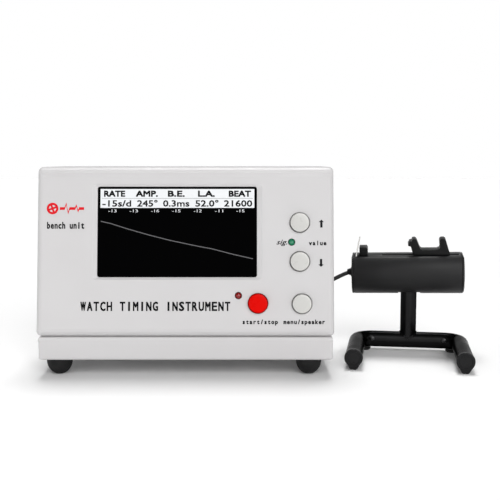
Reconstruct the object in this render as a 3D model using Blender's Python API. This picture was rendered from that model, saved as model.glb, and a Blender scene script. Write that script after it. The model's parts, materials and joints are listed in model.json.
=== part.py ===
"""A timegrapher: a bench instrument that times a mechanical watch.

The main unit has a colour display and four push-buttons. A cable joins it to a free-standing
microphone stand, whose tube rolls on a post and holds the watch between a fixed and a sliding jaw.
Units are metres, +Z is up, the user sits on the -Y side. The origin is on the table, under the
middle of everything but the cable.
"""

import math

import bmesh
import bpy
from mathutils import Matrix, Vector

# --- Driving dimensions -----------------------------------------------------------------------

GAP = 0.0003  # clearance between touching pieces

# Everything is laid out from the middle of the case front, then moved so that the origin is right.
LAYOUT_SHIFT = Vector((-0.0490, -0.0500, 0.0))

# Case
CASE_WIDTH = 0.183
CASE_TOP = 0.129
CASE_BACK = 0.084
TRAY_BOTTOM = 0.0104
TRAY_TOP = 0.0252
TRAY_WIDTH = 0.1816
TRAY_FRONT = 0.0027
SHELL_BOTTOM = TRAY_TOP + GAP
PANEL_FOOT = 0.0311  # height at which the sloping panel crosses Y = 0
PANEL_SLANT = math.radians(8.8)
WALL = 0.0026
PANEL_WALL = 0.003
SEAM = 0.030  # where the front shell meets the top cover
CASE_HALF = CASE_WIDTH / 2

# Panel positions: across from the middle, and up the slope from PANEL_FOOT
WINDOW_MIDDLE = (-0.0051, 0.0590)
WINDOW_SIZE = (0.0977, 0.0554)
BEZEL_SIZE = (0.1050, 0.0592)
WINDOW_CORNER = 0.0014
BEZEL_DEPTH = 0.0010
DISPLAY_SIZE = (0.1055, 0.0640)
BUTTONS = {
    "up": (0.0703, 0.0646),
    "down": (0.0703, 0.0407),
    "menu": (0.0715, 0.0148),
    "start_stop": (0.0446, 0.0150),
}
BUTTON_RADIUS = 0.0058
BUTTON_HOLE = 0.0064
BUTTON_RISE = 0.0030
LEDS = {"signal": (0.0653, 0.0526), "status": (0.0326, 0.0198)}
LED_RADIUS = 0.0020
KEY_BOARD_DEPTH = 0.0150  # from the panel's face to the key board's front

# Case feet
FOOT_RADIUS = 0.0080
FOOT_COLUMNS = (-0.0798, 0.0765)
FOOT_ROWS = (0.0135, 0.0730)

# Rear panel
REAR_FACE = CASE_BACK - 0.0004
REAR_WALL = 0.0024
ROCKER_PLACE = (0.0620, 0.0420)
JACK_PLACE = (0.0380, 0.0400)
SOCKET_PLACE = (-0.0100, 0.0340)
SPEAKER_PLACE = (-0.0500, 0.0800)
SCREW_PLACES = [(x, z) for x in (-0.083, 0.083) for z in (0.032, 0.120)]

# Microphone stand
STAND_PLACE = (0.1507, 0.0803, 0.0)
STAND_TURN = math.radians(-9.2)
PIPE_RADIUS = 0.0056
PIPE_WALL = 0.0015
BAR_HEIGHT = 0.0077
LEG_SPACING = 0.0699
LEG_LENGTH = 0.0634
BEND_RADIUS = 0.0110
SCREW_ACROSS = 0.0246
HEAD_HEIGHT = 0.0558
HEAD_ROLL = math.radians(5.0)  # the tube's flat faces slightly towards the user
HEAD_TILT = math.radians(-1.25)  # the axle rises slightly towards the tube's right end
AXLE = 0.0020
AXLE_BORE = 0.0021  # a running fit on the axle

# Microphone tube, along its own X axis
TUBE_RADIUS = 0.0150
TUBE_FLAT = 0.0121  # height of the flat above the axis
TUBE_WALL = 0.0020
TUBE_ENDS = (-0.0376, 0.0353)  # measured from the post
CAP_DEPTH = 0.0017  # how far a cap stands out of the tube
POST_SLOT = (-0.0075, 0.0075)
ROLL_RANGE = math.radians(90.0)
GUIDE_SLOT = (-0.0185, 0.0339)
GUIDE_SLOT_WIDTH = 0.0050
ROD_HEIGHT = 0.0069
ROD = 0.0015
ROD_BORE = 0.00159  # a running fit on the rod
JAW_HALF = 0.0056  # half of the jaws' depth, front to back

# Cable
CABLE_RADIUS = 0.0014
COIL_MIDDLE = (0.0300, 0.1085)
COIL_RADII = (0.0098, 0.0211)
COIL_HEIGHT = 0.0057

# The cable's route, from the tube's end cap to the coil, and from the coil to the plug
LEAD_ROUTE = [
    (0.1108, 0.0868, 0.0549),
    (0.1065, 0.0875, 0.0532),
    (0.1018, 0.0884, 0.0508),
    (0.0959, 0.0899, 0.0474),
    (0.0892, 0.0923, 0.0428),
    (0.0830, 0.0955, 0.0366),
    (0.0777, 0.0994, 0.0288),
    (0.0732, 0.1040, 0.0201),
    (0.0690, 0.1090, 0.0122),
    (0.0640, 0.1143, 0.0053),
    (0.0575, 0.1196, 0.0022),
    (0.0500, 0.1245, 0.0016),
    (0.0418, 0.1278, 0.0015),
]
TAIL_ROUTE = [
    (0.0182, 0.1281, 0.0032),
    (0.0120, 0.1284, 0.0020),
    (0.0050, 0.1285, 0.0017),
    (-0.0010, 0.1280, 0.0030),
    (-0.0058, 0.1266, 0.0068),
    (-0.0090, 0.1243, 0.0128),
    (-0.0104, 0.1212, 0.0200),
    (-0.0106, 0.1178, 0.0265),
    (-0.0103, 0.1150, 0.0310),
    (-0.0100, 0.1122, 0.0334),
    (-0.0100, 0.1095, 0.0340),
]

COLOURS = {  # slot: (red, green, blue, roughness, metallic)
    "case_paint": (0.72, 0.71, 0.69, 0.45, 0.0),
    "button_grey": (0.70, 0.70, 0.69, 0.35, 0.0),
    "button_red": (0.72, 0.05, 0.03, 0.30, 0.0),
    "led_green": (0.02, 0.30, 0.12, 0.15, 0.0),
    "led_red": (0.60, 0.08, 0.06, 0.15, 0.0),
    "window_black": (0.01, 0.01, 0.012, 0.08, 0.0),
    "display": (0.02, 0.02, 0.025, 0.30, 0.0),
    "circuit_board": (0.03, 0.18, 0.07, 0.50, 0.0),
    "black_plastic": (0.02, 0.02, 0.021, 0.45, 0.0),
    "black_rubber": (0.015, 0.015, 0.015, 0.80, 0.0),
    "black_enamel": (0.012, 0.012, 0.013, 0.22, 0.0),
    "steel": (0.62, 0.61, 0.59, 0.28, 1.0),
    "nickel": (0.70, 0.68, 0.64, 0.22, 1.0),
    "brass": (0.72, 0.52, 0.22, 0.30, 1.0),
}


# --- Tools --------------------------------------------------------------------------------------


def material(slot):
    """The slot's material, made once."""
    if slot in bpy.data.materials:
        return bpy.data.materials[slot]
    made = bpy.data.materials.new(slot)
    made.use_nodes = True
    shader = made.node_tree.nodes["Principled BSDF"]
    red, green, blue, roughness, metallic = COLOURS[slot]
    shader.inputs["Base Color"].default_value = (red, green, blue, 1.0)
    shader.inputs["Roughness"].default_value = roughness
    shader.inputs["Metallic"].default_value = metallic
    return made


def guide(name, parent=None, place=(0, 0, 0), turn=(0, 0, 0)):
    """An empty that pieces are placed by."""
    empty = bpy.data.objects.new(name, None)
    bpy.context.scene.collection.objects.link(empty)
    empty.parent = parent
    empty.location = place
    empty.rotation_euler = turn
    return empty


def piece(name, data, slot, parent, place=(0, 0, 0)):
    """A named sub-part with its material."""
    made = bpy.data.objects.new(name, data)
    bpy.context.scene.collection.objects.link(made)
    made.parent = parent
    made.location = place
    data.materials.append(material(slot))
    return made


def along_axis(axis, a, b, height):
    """A point given across and along an axis: X takes (y, z), Y takes (x, z), Z takes (x, y)."""
    return {"X": (height, a, b), "Y": (a, height, b), "Z": (a, b, height)}[axis]


def ring_of(outline, height, axis):
    return [along_axis(axis, a, b, height) for a, b in outline]


def circle(radius, sides=24, middle=(0.0, 0.0)):
    turns = [2 * math.pi * k / sides for k in range(sides)]
    return [(middle[0] + radius * math.cos(t), middle[1] + radius * math.sin(t)) for t in turns]


def rectangle(width, height, middle=(0.0, 0.0)):
    x, y = width / 2, height / 2
    return [(middle[0] + a, middle[1] + b) for a, b in ((-x, -y), (x, -y), (x, y), (-x, y))]


def rounded(width, height, corner, middle=(0.0, 0.0), steps=4):
    """A rectangle with rounded corners."""
    made = []
    for quarter, (sx, sy) in enumerate(((1, 1), (-1, 1), (-1, -1), (1, -1))):
        x = middle[0] + sx * (width / 2 - corner)
        y = middle[1] + sy * (height / 2 - corner)
        for turn in (math.pi / 2 * (quarter + k / steps) for k in range(steps + 1)):
            made.append((x + corner * math.cos(turn), y + corner * math.sin(turn)))
    return made


def d_shape(radius, flat, sides=32):
    """A circle cut off by a flat at the top, as (y, z) points."""
    start = math.acos(flat / radius)
    step = (2 * math.pi - 2 * start) / (sides - 1)
    turns = [start + k * step for k in range(sides)]
    return [(radius * math.sin(t), radius * math.cos(t)) for t in turns]


def loft(rings, closed=False):
    """A skin over rings of equally many points, capped at its ends or joined end to end."""
    count = len(rings[0])
    points = [point for ring in rings for point in ring]
    faces = []
    for k in range(len(rings) if closed else len(rings) - 1):
        a, b = k * count, (k + 1) % len(rings) * count
        for i in range(count):
            j = (i + 1) % count
            faces.append((a + i, a + j, b + j, b + i))
    if not closed:
        faces += [tuple(range(count)), tuple(range(len(points) - count, len(points)))]
    mesh = bpy.data.meshes.new("loft")
    mesh.from_pydata(points, [], faces)
    shape = bmesh.new()
    shape.from_mesh(mesh)
    bmesh.ops.recalc_face_normals(shape, faces=shape.faces)
    shape.to_mesh(mesh)
    shape.free()
    return mesh


def prism(outline, low, high, axis="Z"):
    """An outline pushed straight along an axis."""
    return loft([ring_of(outline, low, axis), ring_of(outline, high, axis)])


def block(low, high):
    """A box between two corners."""
    size = [b - a for a, b in zip(low, high)]
    middle = ((low[0] + high[0]) / 2, (low[1] + high[1]) / 2)
    return prism(rectangle(size[0], size[1], middle), low[2], high[2])


def turned(profile, axis="Z", middle=(0.0, 0.0), sides=24, closed=False):
    """A profile of (radius, height) points turned about an axis; closed leaves a hole."""
    rings = [ring_of(circle(r, sides, middle), h, axis) for r, h in profile]
    return loft(rings, closed)


def round_edges(target, width, segments=2, angle=40.0):
    """Rounds the edges that are sharper than an angle."""
    bevel = target.modifiers.new("round_edges", "BEVEL")
    bevel.width = width
    bevel.segments = segments
    bevel.limit_method = "ANGLE"
    bevel.angle_limit = math.radians(angle)
    bevel.use_clamp_overlap = True


def fix(target):
    """Turns a piece's modifiers into its mesh."""
    bpy.context.view_layer.update()
    graph = bpy.context.evaluated_depsgraph_get()
    mesh = bpy.data.meshes.new_from_object(target.evaluated_get(graph))
    target.modifiers.clear()
    target.data = mesh


def combine(target, mesh, operation="DIFFERENCE"):
    """Cuts a mesh out of a piece, or joins it on with UNION."""
    tool = bpy.data.objects.new("tool", mesh)
    bpy.context.scene.collection.objects.link(tool)
    tool.parent = target.parent
    tool.location = target.location
    boolean = target.modifiers.new("combine", "BOOLEAN")
    boolean.operation = operation
    boolean.solver = "EXACT"
    boolean.object = tool
    fix(target)
    bpy.data.objects.remove(tool)


def smooth(target, angle=35.0):
    """Shades a round piece smooth, with its real edges kept sharp."""
    target.data.shade_smooth()
    target.data.set_sharp_from_angle(angle=math.radians(angle))


def smooth_route(points, step):
    """Points about a step apart on a smooth curve through a route's points."""
    ends = [2 * points[0] - points[1]] + points + [2 * points[-1] - points[-2]]
    made = []
    for before, start, end, after in zip(ends, ends[1:], ends[2:], ends[3:]):
        pieces = max(1, round((end - start).length / step))
        for k in range(pieces):
            t = k / pieces
            bend = 2 * before - 5 * start + 4 * end - after
            twist = 3 * start - before - 3 * end + after
            made.append(start + 0.5 * t * (end - before + t * (bend + t * twist)))
    return made + [points[-1]]


def cord(name, points, radius, slot, parent, resolution=2):
    """A tube along a line of points, with closed ends."""
    curve = bpy.data.curves.new(name, "CURVE")
    curve.dimensions = "3D"
    curve.bevel_depth = radius
    curve.bevel_resolution = resolution
    curve.use_fill_caps = True
    curve.render_resolution_u = 0
    line = curve.splines.new("POLY")
    line.points.add(len(points) - 1)
    for target, point in zip(line.points, points):
        target.co = (*point, 1.0)
    return piece(name, curve, slot, parent)


# --- Main unit: case ----------------------------------------------------------------------------


def panel_face(height):
    """Y of the sloping panel's face at a height."""
    return (height - PANEL_FOOT) * math.tan(PANEL_SLANT)


def base_tray(case):
    """The open tray that carries the boards; its front lip shows under the front shell."""
    half = TRAY_WIDTH / 2
    back = REAR_FACE - REAR_WALL - GAP
    tray = piece(
        "base_tray", block((-half, TRAY_FRONT, TRAY_BOTTOM), (half, back, TRAY_TOP)), "case_paint", case
    )
    round_edges(tray, 0.0014, 3)
    fix(tray)
    inside = block(
        (-half + WALL, TRAY_FRONT + WALL, TRAY_BOTTOM + WALL), (half - WALL, back - WALL, TRAY_TOP + 0.01)
    )
    combine(tray, inside)
    top = block((-CASE_WIDTH, -0.01, TRAY_TOP - 0.0026), (CASE_WIDTH, 0.2, TRAY_TOP + 0.01))
    combine(tray, top)
    middle, depth = (0, (back + TRAY_FRONT) / 2), back - TRAY_FRONT
    rim_low, rounding = TRAY_TOP - 0.0030, 0.0020
    outer = [(0.0, rim_low)]
    for turn in (math.radians(a) for a in (0, 30, 60, 90)):
        outer.append((rounding * (1 - math.cos(turn)), TRAY_TOP - rounding * (1 - math.sin(turn))))
    rings = [ring_of(rectangle(TRAY_WIDTH - 2 * a, depth - 2 * a, middle), z, "Z") for a, z in outer]
    inner = rectangle(TRAY_WIDTH - 2 * WALL, depth - 2 * WALL, middle)
    rings += [ring_of(inner, TRAY_TOP, "Z"), ring_of(inner, rim_low, "Z")]
    combine(tray, loft(rings, closed=True), "UNION")
    smooth(tray)


def weighted_bevel(target, width, weights, segments):
    """Rounds chosen edges; weights gives each edge's share of the width from its middle and line."""
    mesh = target.data
    shares = mesh.attributes.new("bevel_weight_edge", "FLOAT", "EDGE")
    for edge in mesh.edges:
        a, b = (mesh.vertices[i].co for i in edge.vertices)
        shares.data[edge.index].value = weights((a + b) / 2, (b - a).normalized())
    bevel = target.modifiers.new("round_edges", "BEVEL")
    bevel.width = width
    bevel.segments = segments
    bevel.limit_method = "WEIGHT"
    fix(target)


def front_shell(case, panel):
    """The sloping front panel with its rolled rims, window, button holes and lamp holes."""
    low, high = SHELL_BOTTOM, CASE_TOP
    outline = [(panel_face(low), low), (panel_face(high), high), (SEAM, high), (SEAM, low)]
    shell = piece("front_shell", prism(outline, -CASE_HALF, CASE_HALF, "X"), "case_paint", case)
    front_limit = panel_face(high) + 0.001

    def weights(middle, line):
        across = abs(line.x) > 0.9
        if across and middle.y < front_limit:
            return 1.0 if middle.z > 0.1 else 0.85
        if abs(middle.y - SEAM) < 0.001:
            return 0.0
        return 0.6 if abs(line.z) > 0.5 else 0.45

    weighted_bevel(shell, 0.0060, weights, 4)
    depth = PANEL_WALL / math.cos(PANEL_SLANT)
    sill = low + PANEL_WALL
    ceiling = high - WALL
    hollow = [
        (panel_face(sill) + depth, sill),
        (panel_face(ceiling) + depth, ceiling),
        (SEAM + 0.01, ceiling),
        (SEAM + 0.01, low - 0.01),
        (0.0060, low - 0.01),
        (0.0060, sill),
    ]
    combine(shell, prism(hollow, -CASE_HALF + WALL, CASE_HALF - WALL, "X"))
    shell.parent = panel
    shell.data.transform(panel_matrix().inverted())
    width, height = WINDOW_SIZE[0] + 2 * GAP, WINDOW_SIZE[1] + 2 * GAP
    combine(shell, prism(rounded(width, height, WINDOW_CORNER, WINDOW_MIDDLE), -0.01, 0.01))
    bezel = rounded(*BEZEL_SIZE, 2 * WINDOW_CORNER, WINDOW_MIDDLE)
    slope = loft(
        [
            ring_of(rounded(width, height, WINDOW_CORNER, WINDOW_MIDDLE), -BEZEL_DEPTH, "Z"),
            ring_of(bezel, 0.00002, "Z"),
            ring_of(bezel, 0.002, "Z"),
        ]
    )
    combine(shell, slope)
    for place in BUTTONS.values():
        combine(shell, turned([(BUTTON_HOLE, -0.01), (BUTTON_HOLE, 0.01)], middle=place, sides=28))
    for place in LEDS.values():
        hole = LED_RADIUS + GAP
        combine(shell, turned([(hole, -0.01), (hole, 0.01)], middle=place, sides=16))
    smooth(shell)


def panel_matrix():
    """The sloping panel's frame: X across, Y up the slope, Z out of the face."""
    turn = Matrix.Rotation(math.pi / 2 - PANEL_SLANT, 4, "X")
    return Matrix.Translation((0, 0, PANEL_FOOT)) @ turn


def top_cover(case):
    """The folded cover over the top and both sides, behind the front shell."""
    front, back = SEAM + GAP, CASE_BACK
    cover = piece(
        "top_cover",
        block((-CASE_HALF, front, SHELL_BOTTOM), (CASE_HALF, back, CASE_TOP)),
        "case_paint",
        case,
    )

    def weights(middle, line):
        return 1.0 if abs(line.y) > 0.9 and middle.z > 0.1 else 0.0

    weighted_bevel(cover, 0.0027, weights, 4)
    half = CASE_HALF - WALL
    combine(cover, block((-half, front - 0.01, 0.0), (half, back + 0.01, CASE_TOP - WALL)))
    smooth(cover)


def rear_panel(case):
    """The flat rear panel, set just inside the top cover."""
    half = CASE_HALF - WALL - GAP
    front = REAR_FACE - REAR_WALL
    low, high = TRAY_BOTTOM, CASE_TOP - WALL - GAP
    panel = piece("rear_panel", block((-half, front, low), (half, REAR_FACE, high)), "case_paint", case)

    def opening(width, height, place):
        return prism(rectangle(width, height, place), front - 0.01, REAR_FACE + 0.01, "Y")

    def hole(radius, place, sides=24):
        return turned([(radius, front - 0.01), (radius, REAR_FACE + 0.01)], "Y", place, sides)

    combine(panel, opening(0.0130, 0.0194, ROCKER_PLACE))
    combine(panel, hole(0.0045, JACK_PLACE))
    combine(panel, hole(0.0053, SOCKET_PLACE))
    for place in SCREW_PLACES:
        combine(panel, hole(0.0018, place, 12))
    for row in range(-3, 4):
        width = 2 * math.sqrt(0.016**2 - (row * 0.004) ** 2)
        combine(panel, opening(width, 0.0018, (SPEAKER_PLACE[0], SPEAKER_PLACE[1] + row * 0.004)))


def rear_screws(case):
    """Pan-head screws that hold the rear panel."""
    for number, place in enumerate(SCREW_PLACES, 1):
        profile = [
            (0.0014, REAR_FACE - 0.008),
            (0.0014, REAR_FACE + GAP),
            (0.0029, REAR_FACE + GAP),
            (0.0029, REAR_FACE + 0.0012),
            (0.0020, REAR_FACE + 0.0022),
        ]
        screw = piece(f"rear_screw_{number}", turned(profile, "Y", place, 12), "nickel", case)
        slot = rectangle(0.0040, 0.0007, place)
        combine(screw, prism(slot, REAR_FACE + 0.0014, REAR_FACE + 0.01, "Y"))
        smooth(screw)


def case_feet(case):
    """Domed rubber feet under the tray."""
    top = TRAY_BOTTOM - GAP
    straight = 0.0086
    arc = [math.radians(a) for a in (0, 16, 32, 48, 61, 72)]
    dome = [(FOOT_RADIUS * math.cos(a), straight * (1 - math.sin(a) / math.sin(arc[-1]))) for a in arc]
    profile = [(0.0055, top), (FOOT_RADIUS, top - 0.0006)] + dome
    for side, x in zip(("left", "right"), FOOT_COLUMNS):
        for row, y in zip(("front", "rear"), FOOT_ROWS):
            foot = piece(f"case_foot_{row}_{side}", turned(profile, sides=20), "black_rubber", case, (x, y, 0))
            smooth(foot)


# --- Main unit: panel ---------------------------------------------------------------------------


def screen(panel):
    """The clear window and the display module behind it."""
    outline = rounded(*WINDOW_SIZE, WINDOW_CORNER - GAP, WINDOW_MIDDLE)
    window = prism(outline, -0.0028, -BEZEL_DEPTH)
    piece("screen_window", window, "window_black", panel)
    front = -PANEL_WALL - GAP
    module = prism(rectangle(*DISPLAY_SIZE, WINDOW_MIDDLE), front - 0.0036, front)
    piece("display_module", module, "display", panel)


def push_button(panel, name, place, slot):
    """A round cap with a low dome, a retaining flange behind the panel and a stem."""
    arc = [math.radians(a) for a in (0, 45, 90)]
    edge = 0.0006
    lip = [(BUTTON_RADIUS - edge + edge * math.cos(a), edge * math.sin(a)) for a in arc]
    rise = BUTTON_RISE - edge - 0.0002
    cap = [(r, rise + h) for r, h in lip] + [(0.0030, BUTTON_RISE)]
    behind = -PANEL_WALL - GAP
    stem_end = -KEY_BOARD_DEPTH + 0.0056
    profile = [
        (0.0020, stem_end),
        (0.0020, behind - 0.0010),
        (0.0080, behind - 0.0010),
        (0.0080, behind),
        (BUTTON_RADIUS, behind),
    ] + cap
    button = piece(f"{name}_button", turned(profile, sides=24), slot, panel, (*place, 0))
    smooth(button)


def tact_switch(panel, name, place):
    """A small square switch with a round plunger, under each button's stem."""
    foot = -KEY_BOARD_DEPTH + GAP
    body = prism(rectangle(0.0060, 0.0060), foot, foot + 0.0030)
    switch = piece(f"{name}_switch", body, "black_plastic", panel, (*place, 0))
    combine(switch, turned([(0.0017, foot + 0.001), (0.0017, foot + 0.0038)], sides=12), "UNION")


def lamp(panel, name, place, slot):
    """A round-nosed indicator lamp in the panel."""
    arc = [math.radians(a) for a in (0, 25, 50, 75)]
    nose = [(LED_RADIUS * math.cos(a), LED_RADIUS * math.sin(a) - 0.0012) for a in arc]
    profile = [(LED_RADIUS, -KEY_BOARD_DEPTH + GAP)] + nose
    smooth(piece(f"{name}_lamp", turned(profile, sides=16), slot, panel, (*place, 0)))


def key_board(panel):
    """The board behind the buttons and lamps, shaped around the display."""
    outline = [(0.024, 0.004), (0.086, 0.004), (0.086, 0.074), (0.058, 0.074), (0.058, 0.0245), (0.024, 0.0245)]
    board = prism(outline, -KEY_BOARD_DEPTH - 0.0016, -KEY_BOARD_DEPTH)
    piece("key_board", board, "circuit_board", panel)


def panel_pieces(panel):
    screen(panel)
    for name, place in BUTTONS.items():
        push_button(panel, name, place, "button_red" if name == "start_stop" else "button_grey")
        tact_switch(panel, name, place)
    lamp(panel, "signal", LEDS["signal"], "led_green")
    lamp(panel, "status", LEDS["status"], "led_red")
    key_board(panel)


# --- Main unit: inside and rear -----------------------------------------------------------------


def main_board(case):
    """The measuring board on the tray floor."""
    low = TRAY_BOTTOM + WALL + GAP
    board = piece("main_board", block((-0.070, 0.020, low), (0.060, 0.066, low + 0.0016)), "circuit_board", case)
    chips = ((-0.030, 0.040, 0.018, 0.0022), (0.005, 0.046, 0.010, 0.0018), (0.036, 0.038, 0.012, 0.0060))
    for x, y, size, tall in chips:
        chip = block((x - size / 2, y - size / 2, low + 0.001), (x + size / 2, y + size / 2, low + 0.0016 + tall))
        combine(board, chip, "UNION")


def speaker(case):
    """The loudspeaker behind the rear panel's slots."""
    face = REAR_FACE - REAR_WALL - GAP
    profile = [
        (0.0105, face - 0.0140),
        (0.0105, face - 0.0085),
        (0.0170, face - 0.0022),
        (0.0180, face - 0.0022),
        (0.0180, face),
        (0.0160, face),
        (0.0150, face - 0.0016),
        (0.0060, face - 0.0050),
        (0.0030, face - 0.0036),
    ]
    smooth(piece("speaker", turned(profile, "Y", SPEAKER_PLACE, 20), "black_plastic", case))


def power_switch(case):
    """The rocker switch in the rear panel: a housing and a rocker that tilts in it."""
    x, z = ROCKER_PLACE
    face = REAR_FACE + GAP
    flange = prism(rectangle(0.0150, 0.0212, (x, z)), face, face + 0.0014, "Y")
    housing = piece("power_switch_housing", flange, "black_plastic", case)
    body = prism(rectangle(0.0124, 0.0188, (x, z)), face - 0.0120, face + 0.0005, "Y")
    combine(housing, body, "UNION")
    combine(housing, prism(rectangle(0.0106, 0.0162, (x, z)), face - 0.0105, face + 0.01, "Y"))
    pivot = guide("rocker_pivot", case, (x, face - 0.0030, z), (math.radians(8.0), 0, 0))
    outline = [(-0.0030, -0.0040), (-0.0030, 0.0040), (0.0042, 0.0071), (0.0052, 0.0068)]
    outline += [(0.0040, 0.0000), (0.0052, -0.0068), (0.0042, -0.0071)]
    rocker = piece("power_rocker", prism(outline, -0.0049, 0.0049, "X"), "black_plastic", pivot)
    round_edges(rocker, 0.0003, 1)


def power_jack(case):
    """The low-voltage inlet; no lead is plugged in."""
    face = REAR_FACE + GAP
    profile = [
        (0.0042, face - 0.0130),
        (0.0042, face),
        (0.0060, face),
        (0.0060, face + 0.0012),
        (0.0035, face + 0.0012),
        (0.0035, face - 0.0110),
    ]
    smooth(piece("power_jack", turned(profile, "Y", JACK_PLACE), "nickel", case))


def sensor_socket(case):
    """The round socket that the microphone's plug goes into."""
    face = REAR_FACE + GAP
    profile = [
        (0.0050, face - 0.0120),
        (0.0050, face),
        (0.0072, face),
        (0.0072, face + 0.0016),
        (0.0034, face + 0.0016),
        (0.0034, face - 0.0100),
    ]
    smooth(piece("sensor_socket", turned(profile, "Y", SOCKET_PLACE), "nickel", case))


def sensor_plug(case):
    """The cable's plug, seated in the socket, and its flexible boot."""
    face = REAR_FACE + GAP + 0.0016 + GAP
    end = face + 0.0150
    profile = [
        (0.0022, face - 0.0100),
        (0.0030, face - 0.0090),
        (0.0030, face),
        (0.0048, face),
        (0.0050, face + 0.0006),
        (0.0050, end - 0.0010),
        (0.0042, end),
    ]
    smooth(piece("sensor_plug", turned(profile, "Y", SOCKET_PLACE, 20), "nickel", case))
    tip = TAIL_ROUTE[-1][1] - GAP
    boot = [(0.0036, end + GAP), (0.0034, end + 0.002), (0.0019, tip)]
    smooth(piece("plug_boot", turned(boot, "Y", SOCKET_PLACE, 16), "black_rubber", case))


# --- Microphone stand ---------------------------------------------------------------------------


def bent_path():
    """The base tube's centreline: leg, bend, bar, bend, leg, as (x, y) points."""
    x, y = LEG_SPACING / 2 - BEND_RADIUS, -BEND_RADIUS
    bend = [math.radians(90 * k / 5) for k in range(6)]
    right = [(x + BEND_RADIUS * math.cos(a), y + BEND_RADIUS * math.sin(a)) for a in bend]
    right = [(LEG_SPACING / 2, -LEG_LENGTH)] + right
    return right + [(-a, b) for a, b in reversed(right)]


def base_tube(stand):
    """The bent tube that the stand rests on, open at both ends."""
    path = [Vector((x, y, BAR_HEIGHT)) for x, y in bent_path()]

    def rings(radius):
        made = []
        for before, here, after in zip([path[0]] + path, path, path[1:] + [path[-1]]):
            side = (after - before).normalized().cross(Vector((0, 0, 1)))
            made.append([here + side * a + Vector((0, 0, b)) for a, b in circle(radius, 16)])
        return made

    mesh = loft(rings(PIPE_RADIUS) + rings(PIPE_RADIUS - PIPE_WALL)[::-1], closed=True)
    tube = piece("stand_base_tube", mesh, "black_enamel", stand)
    for x in (-SCREW_ACROSS, SCREW_ACROSS):
        hole = [(0.0011, -0.02), (0.0011, 0.0)]
        combine(tube, turned(hole, "Y", (x, BAR_HEIGHT + 0.0012), 10))
    smooth(tube, 50)


def post(stand):
    """The upright tube, mitred onto the bar."""
    outer, inner = PIPE_RADIUS - 0.0001, PIPE_RADIUS - PIPE_WALL
    top = HEAD_HEIGHT - 0.0095
    profile = [(outer, BAR_HEIGHT), (outer, top), (inner, top), (inner, BAR_HEIGHT)]
    tube = piece("stand_post", turned(profile, closed=True), "black_enamel", stand)
    saddle = PIPE_RADIUS + GAP
    combine(tube, turned([(saddle, -0.02), (saddle, 0.02)], "X", (0, BAR_HEIGHT), 32))
    smooth(tube, 50)


def post_head(stand):
    """The eye on top of the post, which the tube's axle runs through."""
    stem = PIPE_RADIUS - PIPE_WALL - GAP
    plug = turned([(stem, HEAD_HEIGHT - 0.0200), (stem, HEAD_HEIGHT - 0.0092)], sides=20)
    head = piece("post_head", plug, "steel", stand)
    combine(head, block((-0.0045, -0.0030, HEAD_HEIGHT - 0.0093), (0.0045, 0.0030, HEAD_HEIGHT)), "UNION")
    middle = Matrix.Translation((0, 0, HEAD_HEIGHT))
    tilt = middle @ Matrix.Rotation(HEAD_TILT, 4, "Y") @ middle.inverted()
    eye = turned([(0.0036, -0.0045), (0.0036, 0.0045)], "X", (0, HEAD_HEIGHT))
    bore = turned([(AXLE_BORE, -0.01), (AXLE_BORE, 0.01)], "X", (0, HEAD_HEIGHT))
    eye.transform(tilt)
    bore.transform(tilt)
    combine(head, eye, "UNION")
    combine(head, bore)


def leg_caps(stand):
    """Rubber caps in the front ends of the legs, each with a pointed foot."""
    inside = PIPE_RADIUS - PIPE_WALL - GAP
    front = -LEG_LENGTH - GAP
    rim = PIPE_RADIUS + 0.0003
    for side, x in (("left", -LEG_SPACING / 2), ("right", LEG_SPACING / 2)):
        profile = [
            (inside, front + 0.0100),
            (inside, front),
            (rim, front),
            (rim, front - 0.0018),
            (rim - 0.0006, front - 0.0024),
        ]
        cap = piece(f"leg_cap_{side}", turned(profile, "Y", (x, BAR_HEIGHT)), "black_rubber", stand)
        nub = [
            (x - 0.0050, BAR_HEIGHT - 0.0020),
            (x - 0.0022, 0.0006),
            (x - 0.0010, 0.0),
            (x + 0.0010, 0.0),
            (x + 0.0022, 0.0006),
            (x + 0.0050, BAR_HEIGHT - 0.0020),
        ]
        combine(cap, prism(nub, front - 0.0020, front - 0.0001, "Y"), "UNION")
        smooth(cap)


def bar_fittings(stand):
    """The two rear feet under the bar and the bright screws in its face."""
    under = BAR_HEIGHT - PIPE_RADIUS - GAP
    foot = [(0.0042, under), (0.0042, 0.0010), (0.0032, 0.0)]
    for side, sign in (("left", -1), ("right", 1)):
        made = piece(f"rear_foot_{side}", turned(foot, sides=16), "black_rubber", stand, (sign * 0.0300, -0.0010, 0))
        smooth(made)
        face = -PIPE_RADIUS - 2 * GAP
        height = BAR_HEIGHT + 0.0012
        screw = [(0.0008, face + 0.004), (0.0008, face), (0.0017, face), (0.0015, face - 0.0007), (0.0006, face - 0.0011)]
        smooth(piece(f"bar_screw_{side}", turned(screw, "Y", (sign * SCREW_ACROSS, height), 12), "nickel", stand))


# --- Microphone tube ----------------------------------------------------------------------------


def tube_body(head):
    """The D-shaped tube, with a guide slot in its flat and a slot below for the post."""
    outer = d_shape(TUBE_RADIUS, TUBE_FLAT)
    inner = d_shape(TUBE_RADIUS - TUBE_WALL, TUBE_FLAT - TUBE_WALL)
    left, right = TUBE_ENDS
    rings = [(outer, left), (outer, right), (inner, right), (inner, left)]
    mesh = loft([ring_of(outline, x, "X") for outline, x in rings], closed=True)
    tube = piece("mic_tube", mesh, "black_plastic", head)
    half = GUIDE_SLOT_WIDTH / 2
    combine(tube, block((GUIDE_SLOT[0], -half, 0.005), (GUIDE_SLOT[1], half, 0.02)))
    combine(tube, prism(post_sweep(), *POST_SLOT, "X"))
    smooth(tube)


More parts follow.
